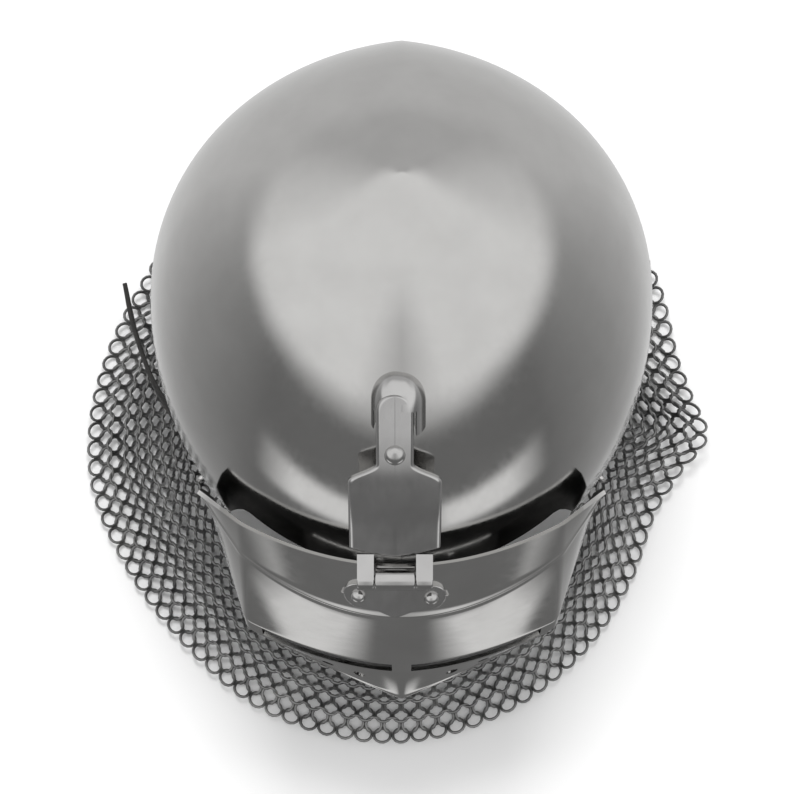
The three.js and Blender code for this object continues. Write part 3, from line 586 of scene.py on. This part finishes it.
BAND_THICKNESS = 2.2
BAND_HEIGHT = 22
BAND_LOW = 8
BAND_CHEEK_RISE = 18
BAND_END = 0.315
BAND_STAND = 0.3
TAIL_LINE = np.array([[-97.4, -25], [-107.5, -9], [-117.3, 8], [-126, 32], [-131.4, 54.8]])
TAIL_HEIGHTS = (25, 44)

level_table = np.linspace(0, 11, 1101)
height_table = along(SKULL_SECTIONS, level_table)[:, 0]


def band_low(turn):
    """Lower edge of the band: its height at the back plus an eased rise towards the cheeks."""
    share = np.minimum(turn % 1, 1 - turn % 1) * 2
    return BAND_LOW + BAND_CHEEK_RISE * ease(0.5, BAND_END, share)


def band_out(turn, z):
    """Level direction straight out from the skull: the difference of two near points, turned a quarter."""
    level = np.interp(-z, -height_table, level_table)
    run = skull_point(turn + 0.004, level) - skull_point(turn - 0.004, level)
    out = np.stack([run[..., 1], -run[..., 0], 0 * run[..., 0]], -1)
    return out / np.linalg.norm(out, axis=-1, keepdims=True)


def band_point(turn, z, stand):
    """Point at a height on the skull, moved straight out by a stand."""
    level = np.interp(-z, -height_table, level_table)
    return skull_point(turn, level) + band_out(turn, z) * np.asarray(stand)[..., None]


def strip(share, inside):
    """Half thickness of a strip with rounded edges, as a share of the whole, from the distance inside."""
    return 1 - rounded(inside, share) / share


band_turn = np.linspace(BAND_END / 2, 1 - BAND_END / 2, 200)[:, None]
band_v = np.linspace(0, 1, 13)[None, :]
band_z = band_low(band_turn) + band_v * BAND_HEIGHT
band_full = 0.5 + 0.5 * strip(0.9, np.minimum(band_v, 1 - band_v) * BAND_HEIGHT) + 0 * band_turn
band_outer = band_point(band_turn, band_z, BAND_STAND + BAND_THICKNESS * band_full)
band_inner = band_point(band_turn, band_z, BAND_STAND + 0 * band_full)
tail_share = np.linspace(0, 1, 90)[:, None]
tail_line = along(TAIL_LINE, tail_share * 4)
tail_run = np.gradient(tail_line, axis=0)
tail_side = np.stack([tail_run[..., 1], -tail_run[..., 0]], -1)
tail_side = tail_side / np.linalg.norm(tail_run, axis=-1, keepdims=True)
tail_point = np.maximum(0, (tail_share - 0.4) / 0.6)
tail_half = (TAIL_HEIGHTS[1] - TAIL_HEIGHTS[0]) / 2 * (1 - 0.94 * tail_point ** 2)
tail_v = np.linspace(-1, 1, 13)[None, :]
tail_z = sum(TAIL_HEIGHTS) / 2 + tail_v * tail_half
tail_full = BAND_THICKNESS / 2 * (0.5 + 0.5 * strip(0.8, tail_half * (1 - np.abs(tail_v))))
tail_faces = [
    np.concatenate([tail_line + way * tail_side * tail_full[..., None], tail_z[..., None]], -1)
    for way in (1, -1)
]


def leather(name, dark, light, rough):
    """Tanned leather: small cells of grain lift the surface, and a cloud moves the near-black colour."""
    material = bpy.data.materials.new(name)
    material.use_nodes = True
    nodes, links = material.node_tree.nodes, material.node_tree.links
    shader = nodes["Principled BSDF"]
    shader.inputs["Roughness"].default_value = rough
    place = nodes.new("ShaderNodeTexCoord")
    cloud = nodes.new("ShaderNodeTexNoise")
    cloud.inputs["Scale"].default_value = 160
    cloud.inputs["Detail"].default_value = 5
    tone = nodes.new("ShaderNodeValToRGB")
    tone.color_ramp.elements[0].color = (*dark, 1)
    tone.color_ramp.elements[1].color = (*light, 1)
    grain = nodes.new("ShaderNodeTexVoronoi")
    grain.inputs["Scale"].default_value = 900
    lift = nodes.new("ShaderNodeBump")
    lift.inputs["Strength"].default_value = 0.35
    lift.inputs["Distance"].default_value = 0.0004
    for texture in (cloud, grain):
        links.new(place.outputs["Object"], texture.inputs["Vector"])
    links.new(cloud.outputs["Fac"], tone.inputs["Fac"])
    links.new(tone.outputs["Color"], shader.inputs["Base Color"])
    links.new(grain.outputs["Distance"], lift.inputs["Height"])
    links.new(lift.outputs["Normal"], shader.inputs["Normal"])
    return material


black_leather = leather("black_leather", (0.006, 0.006, 0.006), (0.022, 0.020, 0.018), 0.5)
piece("leather_band", [slab(band_outer, band_inner), slab(*tail_faces)], black_leather, "helmet",
      ["aventail_band"])


# Vervelles
# Staples of bright steel wire, driven through the leather band with their bows standing out, six on
# each side. A lace through the bows would hold the mail.

VERVELLE_SHARES = (0.335, 0.46, 0.58, 0.7, 0.82, 0.94)
VERVELLE_WIRE = 1.2
VERVELLE_ARCH = 3.2
VERVELLE_REACH = 4.4
VERVELLE_LEVEL = 13
VERVELLE_SEAT = 2


def wire(path, radius, sides, closed=False):
    """Rings of a wire: circles across the path, built on the run and a direction square to it."""
    if closed:
        run = np.roll(path, -1, -2) - np.roll(path, 1, -2)
    else:
        run = np.gradient(path, axis=-2)
    run = run / np.linalg.norm(run, axis=-1, keepdims=True)
    middle = path - path.mean(-2, keepdims=True)
    side = np.cross(run, np.cross(middle, run))
    side = side / np.linalg.norm(side, axis=-1, keepdims=True)
    other = np.cross(run, side)
    turn = np.linspace(0, 2 * np.pi, sides, endpoint=False)[:, None]
    ring = np.cos(turn) * side[..., None, :] + np.sin(turn) * other[..., None, :]
    return path[..., None, :] + radius * ring


vervelle_turn = np.array(VERVELLE_SHARES) / 2
vervelle_turn = np.concatenate([vervelle_turn, 1 - vervelle_turn])
vervelle_z = band_low(vervelle_turn) + VERVELLE_LEVEL
vervelle_out = band_out(vervelle_turn, vervelle_z)[:, None, :]
vervelle_feet = [
    band_point(vervelle_turn, vervelle_z + way * VERVELLE_ARCH, 0 * vervelle_z + VERVELLE_SEAT)[:, None, :]
    for way in (-1, 1)
]
bow = np.linspace(0, np.pi, 17)
bow_reach = np.concatenate([[0], VERVELLE_REACH - VERVELLE_ARCH + VERVELLE_ARCH * np.sin(bow), [0]])[:, None]
bow_share = np.concatenate([[0], 0.5 - 0.5 * np.cos(bow), [1]])[:, None]
vervelle_path = vervelle_feet[0] * (1 - bow_share) + vervelle_feet[1] * bow_share + vervelle_out * bow_reach
vervelle_shells = [loft(rings) for rings in wire(vervelle_path, VERVELLE_WIRE, 12)]
staple_steel = steel("staple_steel", (0.62, 0.61, 0.60), (0.75, 0.74, 0.73), (0.2, 0.3))
vervelle_names = [f"vervelle_{word}_{i + 1}" for word in ("left", "right") for i in range(6)]
piece("vervelle_staples", vervelle_shells, staple_steel, "helmet", vervelle_names)


# Aventail
# The mail collar: round steel rings, each linked with four neighbours in the rows beside it, so the
# whole is one heavy fabric. It hangs from the leather band and lies spread on the surface to its hem.

RING_RADIUS = 3.95
RING_WIRE = 0.72
RING_SPACING = 9.0
RING_PITCH = 4.7
RING_TILT = np.radians(30)
HEM_MARGIN = 4.4
EDGE_MARGIN = 2.6
LOOSE_RUN = 10
CROWDED_RUN = 26
CROWDED = 0.62
RING_SIDES = 14
WIRE_SIDES = 6
MAIL_AXIS_Y = 10
MAIL_CLEARANCE = 3.3
MAIL_HANG = -2
THROAT_HEIGHT = 3
THROAT_SHARES = (0.17, 0.335)
SLOPE_RUN = 9
SLOPE_PER_HEIGHT = 0.7
# The hem: azimuth in degrees from the front, reach from the neck's axis and lift of a fold.
HEM = np.array([
    [-180, 150, 0], [-150, 145, 2], [-130, 139, 0], [-112, 139, 2], [-97, 145, 0], [-84, 151, 3],
    [-73, 156, 0], [-56, 157.5, 0], [-40, 161, 1.5], [-22, 168.5, 0], [0, 170, 0], [17, 164, 0],
    [34, 154.5, 1], [50, 144, 0], [63, 136.5, 0], [73, 141, 5], [80, 149, 10], [88, 141.5, 4],
    [98, 136, 0], [115, 138.5, 2], [135, 141, 0], [155, 147, 1.5],
])


def crowded(run):
    """Distance from the hem, and its rate, at a run along the flat mail: even near the hem, then drawn
    together towards the skull as the integral of an eased rate."""
    share = np.clip((run - LOOSE_RUN) / (CROWDED_RUN - LOOSE_RUN), 0, 1)
    lost = (CROWDED_RUN - LOOSE_RUN) * (share ** 3 - share ** 4 / 2) + np.maximum(0, run - CROWDED_RUN)
    rate = 1 - (1 - CROWDED) * share * share * (3 - 2 * share)
    return run - (1 - CROWDED) * lost, rate


def mail_point(turn, share):
    """Underside of the mail, its distance from the inner edge and its distance to the hem: straight in
    plan from edge to hem, falling from the edge by an eased slope, and rising to the hem's folds."""
    azimuth = np.where(turn > 0.5, turn * 360 - 360, turn * 360)
    place = np.interp(azimuth, np.append(HEM[:, 0], 180), np.arange(len(HEM) + 1.0))
    reach, lift = np.moveaxis(along(HEM[:, 1:], np.minimum(place, len(HEM) - 1e-6), closed=True), -1, 0)
    angle = np.radians(azimuth)
    hem = np.stack([reach * np.sin(angle), MAIL_AXIS_Y - reach * np.cos(angle)], -1)
    hung = ease(*THROAT_SHARES, np.minimum(turn, 1 - turn) * 2)
    height = THROAT_HEIGHT + (band_low(turn) + MAIL_HANG - THROAT_HEIGHT) * hung
    edge = band_point(turn, height, 0 * height + MAIL_CLEARANCE)[..., :2]
    span = np.linalg.norm(hem - edge, axis=-1)
    run = span * share
    z = height * (1 - ease(0, SLOPE_RUN + height * SLOPE_PER_HEIGHT, run))
    z = z + np.maximum(0, lift) * ease(0.25, 0.9, share)
    plan = edge + (hem - edge) * share[..., None]
    return plan, z, run, span - run


hem_turn = np.linspace(0, 1, 3601)
hem_plan = mail_point(hem_turn % 1, 1 + 0 * hem_turn)[0]
hem_run = np.concatenate([[0], np.cumsum(np.linalg.norm(np.diff(hem_plan, axis=0), axis=-1))])
ring_count = int(np.round(hem_run[-1] / RING_SPACING))
ring_row, ring_place = np.meshgrid(np.arange(24), np.arange(ring_count), indexing="ij")
ring_row, ring_place = ring_row.ravel(), ring_place.ravel() + 0.5 * (ring_row.ravel() % 2)
ring_turn = np.interp(ring_place / ring_count * hem_run[-1], hem_run, hem_turn) % 1
ring_span = sum(mail_point(ring_turn, 0 * ring_turn)[2:])
inside = ring_span - crowded(HEM_MARGIN + ring_row * RING_PITCH)[0] > EDGE_MARGIN
ring_row, ring_place = ring_row[inside][:, None], ring_place[inside][:, None]
ring_way = np.where(ring_row % 2 == 0, 1, -1)
ring_angle = np.linspace(0, 2 * np.pi, RING_SIDES, endpoint=False)[None, :]
ring_hem = (ring_place + RING_RADIUS / RING_SPACING * np.cos(ring_angle)) / ring_count % 1
ring_turn = np.interp(ring_hem * hem_run[-1], hem_run, hem_turn) % 1
ring_flat = HEM_MARGIN + ring_row * RING_PITCH - RING_RADIUS * np.sin(ring_angle) * np.cos(RING_TILT)
ring_in = crowded(ring_flat)[0]
ring_lean = np.sqrt(1 - (np.cos(RING_TILT) * crowded(HEM_MARGIN + ring_row * RING_PITCH)[1]) ** 2)
ring_span = sum(mail_point(ring_turn, 0 * ring_turn)[2:])
ring_plan, ring_z = mail_point(ring_turn, 1 - ring_in / ring_span)[:2]
ring_rise = RING_RADIUS * ring_lean * (np.sin(ring_angle) * ring_way + 1) + RING_WIRE
ring_path = np.concatenate([ring_plan, (ring_z + ring_rise)[..., None]], -1)
mail_steel = steel("mail_steel", (0.16, 0.16, 0.16), (0.32, 0.32, 0.315), (0.3, 0.45), dents=0)
for word, half in (("left", ring_plan[:, 0, 0] > 0), ("right", ring_plan[:, 0, 0] <= 0)):
    ring_points = wire(ring_path[half], RING_WIRE, WIRE_SIDES, closed=True)
    ring_index = np.arange(ring_points[..., 0].size).reshape(ring_points.shape[:3])
    ring_next, ring_side = np.roll(ring_index, -1, 1), np.roll(ring_index, -1, 2)
    ring_quads = np.stack([ring_index, ring_next, np.roll(ring_next, -1, 2), ring_side], -1).reshape(-1, 4)
    mail_shell = (ring_points.reshape(-1, 3), ring_quads, np.zeros((0, 3), int))
    piece(f"mail_rings_{word}", [mail_shell], mail_steel, "helmet",
          ["aventail"] if word == "left" else [], sharp=89)


# Floor
# A plain white surface that the helmet stands on. It is kept out of the steel's reflections, which are
# those of a darker room.

floor_mesh = bpy.data.meshes.new("floor")
floor_mesh.from_pydata([(-12, -12, 0), (12, -12, 0), (12, 12, 0), (-12, 12, 0)], [], [(0, 1, 2, 3)])
floor = bpy.data.objects.new("floor", floor_mesh)
bpy.context.collection.objects.link(floor)
floor_paint = bpy.data.materials.new("floor_white")
floor_paint.use_nodes = True
floor_shader = floor_paint.node_tree.nodes["Principled BSDF"]
floor_shader.inputs["Base Color"].default_value = (0.9, 0.9, 0.9, 1)
floor_shader.inputs["Roughness"].default_value = 0.9
floor_shader.inputs["Specular IOR Level"].default_value = 0
floor_mesh.materials.append(floor_paint)
floor.visible_glossy = False


# Light and camera
# A tent of white cloth, the same on both sides: lit side walls, a greyer back and a gap in front, where
# the camera stands. The room below it is dark in front, where two white boards lie, one at each side.

# Brightness round the helmet, from its right (0) by the front (0.25), its left (0.5) and the back (0.75)
# to its right again: of the tent's wall, of the room below it and of the room with the two boards.
TENT = ((0.0, 1.0), (0.18, 1.0), (0.25, 0.5), (0.32, 1.0), (0.5, 1.0), (0.65, 0.6), (0.85, 0.6), (1.0, 1.0))
ROOM = ((0.0, 0.4), (0.1, 0.2), (0.4, 0.2), (0.5, 0.4), (0.6, 0.7), (0.9, 0.7), (1.0, 0.4))
BOARDS = (
    (0.0, 0.4), (0.1, 0.2), (0.14, 1.0), (0.19, 1.0), (0.22, 0.2), (0.28, 0.2), (0.31, 1.0), (0.36, 1.0),
    (0.4, 0.2), (0.5, 0.4), (0.6, 0.7), (0.9, 0.7), (1.0, 0.4),
)
TENT_TOP = 1.0
LAMP_SIZE = (0.6, 0.5)
LAMP_WATTS = 15
LAMP_PLACE = (0, 0.5, 1.6)
LAMP_TARGET = (0, 0, 0.1)
CAMERA_LENS = 104.87
CAMERA_PLACE = (-0.0019, -0.28205, 1.08295)
CAMERA_TARGET = (-0.0019, -0.031, 0.146)

world = bpy.data.worlds.new("room")
world.use_nodes = True
room_nodes, room_links = world.node_tree.nodes, world.node_tree.links
room_place = room_nodes.new("ShaderNodeTexCoord")
room_round = room_nodes.new("ShaderNodeTexGradient")
room_round.gradient_type = "RADIAL"
room_split = room_nodes.new("ShaderNodeSeparateXYZ")
room_links.new(room_place.outputs["Generated"], room_round.inputs["Vector"])
room_links.new(room_place.outputs["Generated"], room_split.inputs["Vector"])


def round_ramp(stops):
    """Colour ramp over the turn round the helmet, with straight greys between its stops."""
    ramp = room_nodes.new("ShaderNodeValToRGB")
    for i, (place, bright) in enumerate(stops):
        stop = ramp.color_ramp.elements[i] if i < 2 else ramp.color_ramp.elements.new(place)
        stop.position = place
        stop.color = (bright, bright, bright, 1)
    room_links.new(room_round.outputs["Fac"], ramp.inputs["Fac"])
    return ramp.outputs["Color"]


def by_height(low, high, below, above):
    """Mix of two colours: below under the low height of a direction, above over the high, eased between."""
    height = room_nodes.new("ShaderNodeMapRange")
    height.interpolation_type = "SMOOTHSTEP"
    height.inputs["From Min"].default_value = low
    height.inputs["From Max"].default_value = high
    mix = room_nodes.new("ShaderNodeMixRGB")
    room_links.new(room_split.outputs["Z"], height.inputs["Value"])
    room_links.new(height.outputs["Result"], mix.inputs["Fac"])
    for socket, colour in (("Color1", below), ("Color2", above)):
        if isinstance(colour, float):
            mix.inputs[socket].default_value = (colour, colour, colour, 1)
        else:
            room_links.new(colour, mix.inputs[socket])
    return mix.outputs["Color"]


room_light = by_height(-0.6, -0.5, round_ramp(ROOM), round_ramp(BOARDS))
room_light = by_height(-0.35, -0.25, room_light, round_ramp(ROOM))
room_light = by_height(0.1, 0.35, room_light, round_ramp(TENT))
room_light = by_height(0.7, 0.9, room_light, TENT_TOP)
room_links.new(room_light, room_nodes["Background"].inputs["Color"])
bpy.context.scene.world = world


def aim(thing, place, target):
    """Puts a light or camera at a place and turns its -Z axis along the line to the target."""
    way = mathutils.Vector(target) - mathutils.Vector(place)
    thing.location = place
    thing.rotation_euler = way.to_track_quat("-Z", "Y").to_euler()


lamp = bpy.data.lights.new("soft_top", "AREA")
lamp.shape = "RECTANGLE"
lamp.size, lamp.size_y = LAMP_SIZE
lamp.energy = LAMP_WATTS
light = bpy.data.objects.new("soft_top", lamp)
light.visible_glossy = False
aim(light, LAMP_PLACE, LAMP_TARGET)
bpy.context.collection.objects.link(light)

camera = bpy.data.objects.new("camera", bpy.data.cameras.new("camera"))
camera.data.lens = CAMERA_LENS
camera.data.sensor_width = 36
aim(camera, CAMERA_PLACE, CAMERA_TARGET)
bpy.context.collection.objects.link(camera)
bpy.context.scene.camera = camera
bpy.context.scene.view_settings.view_transform = "Standard"
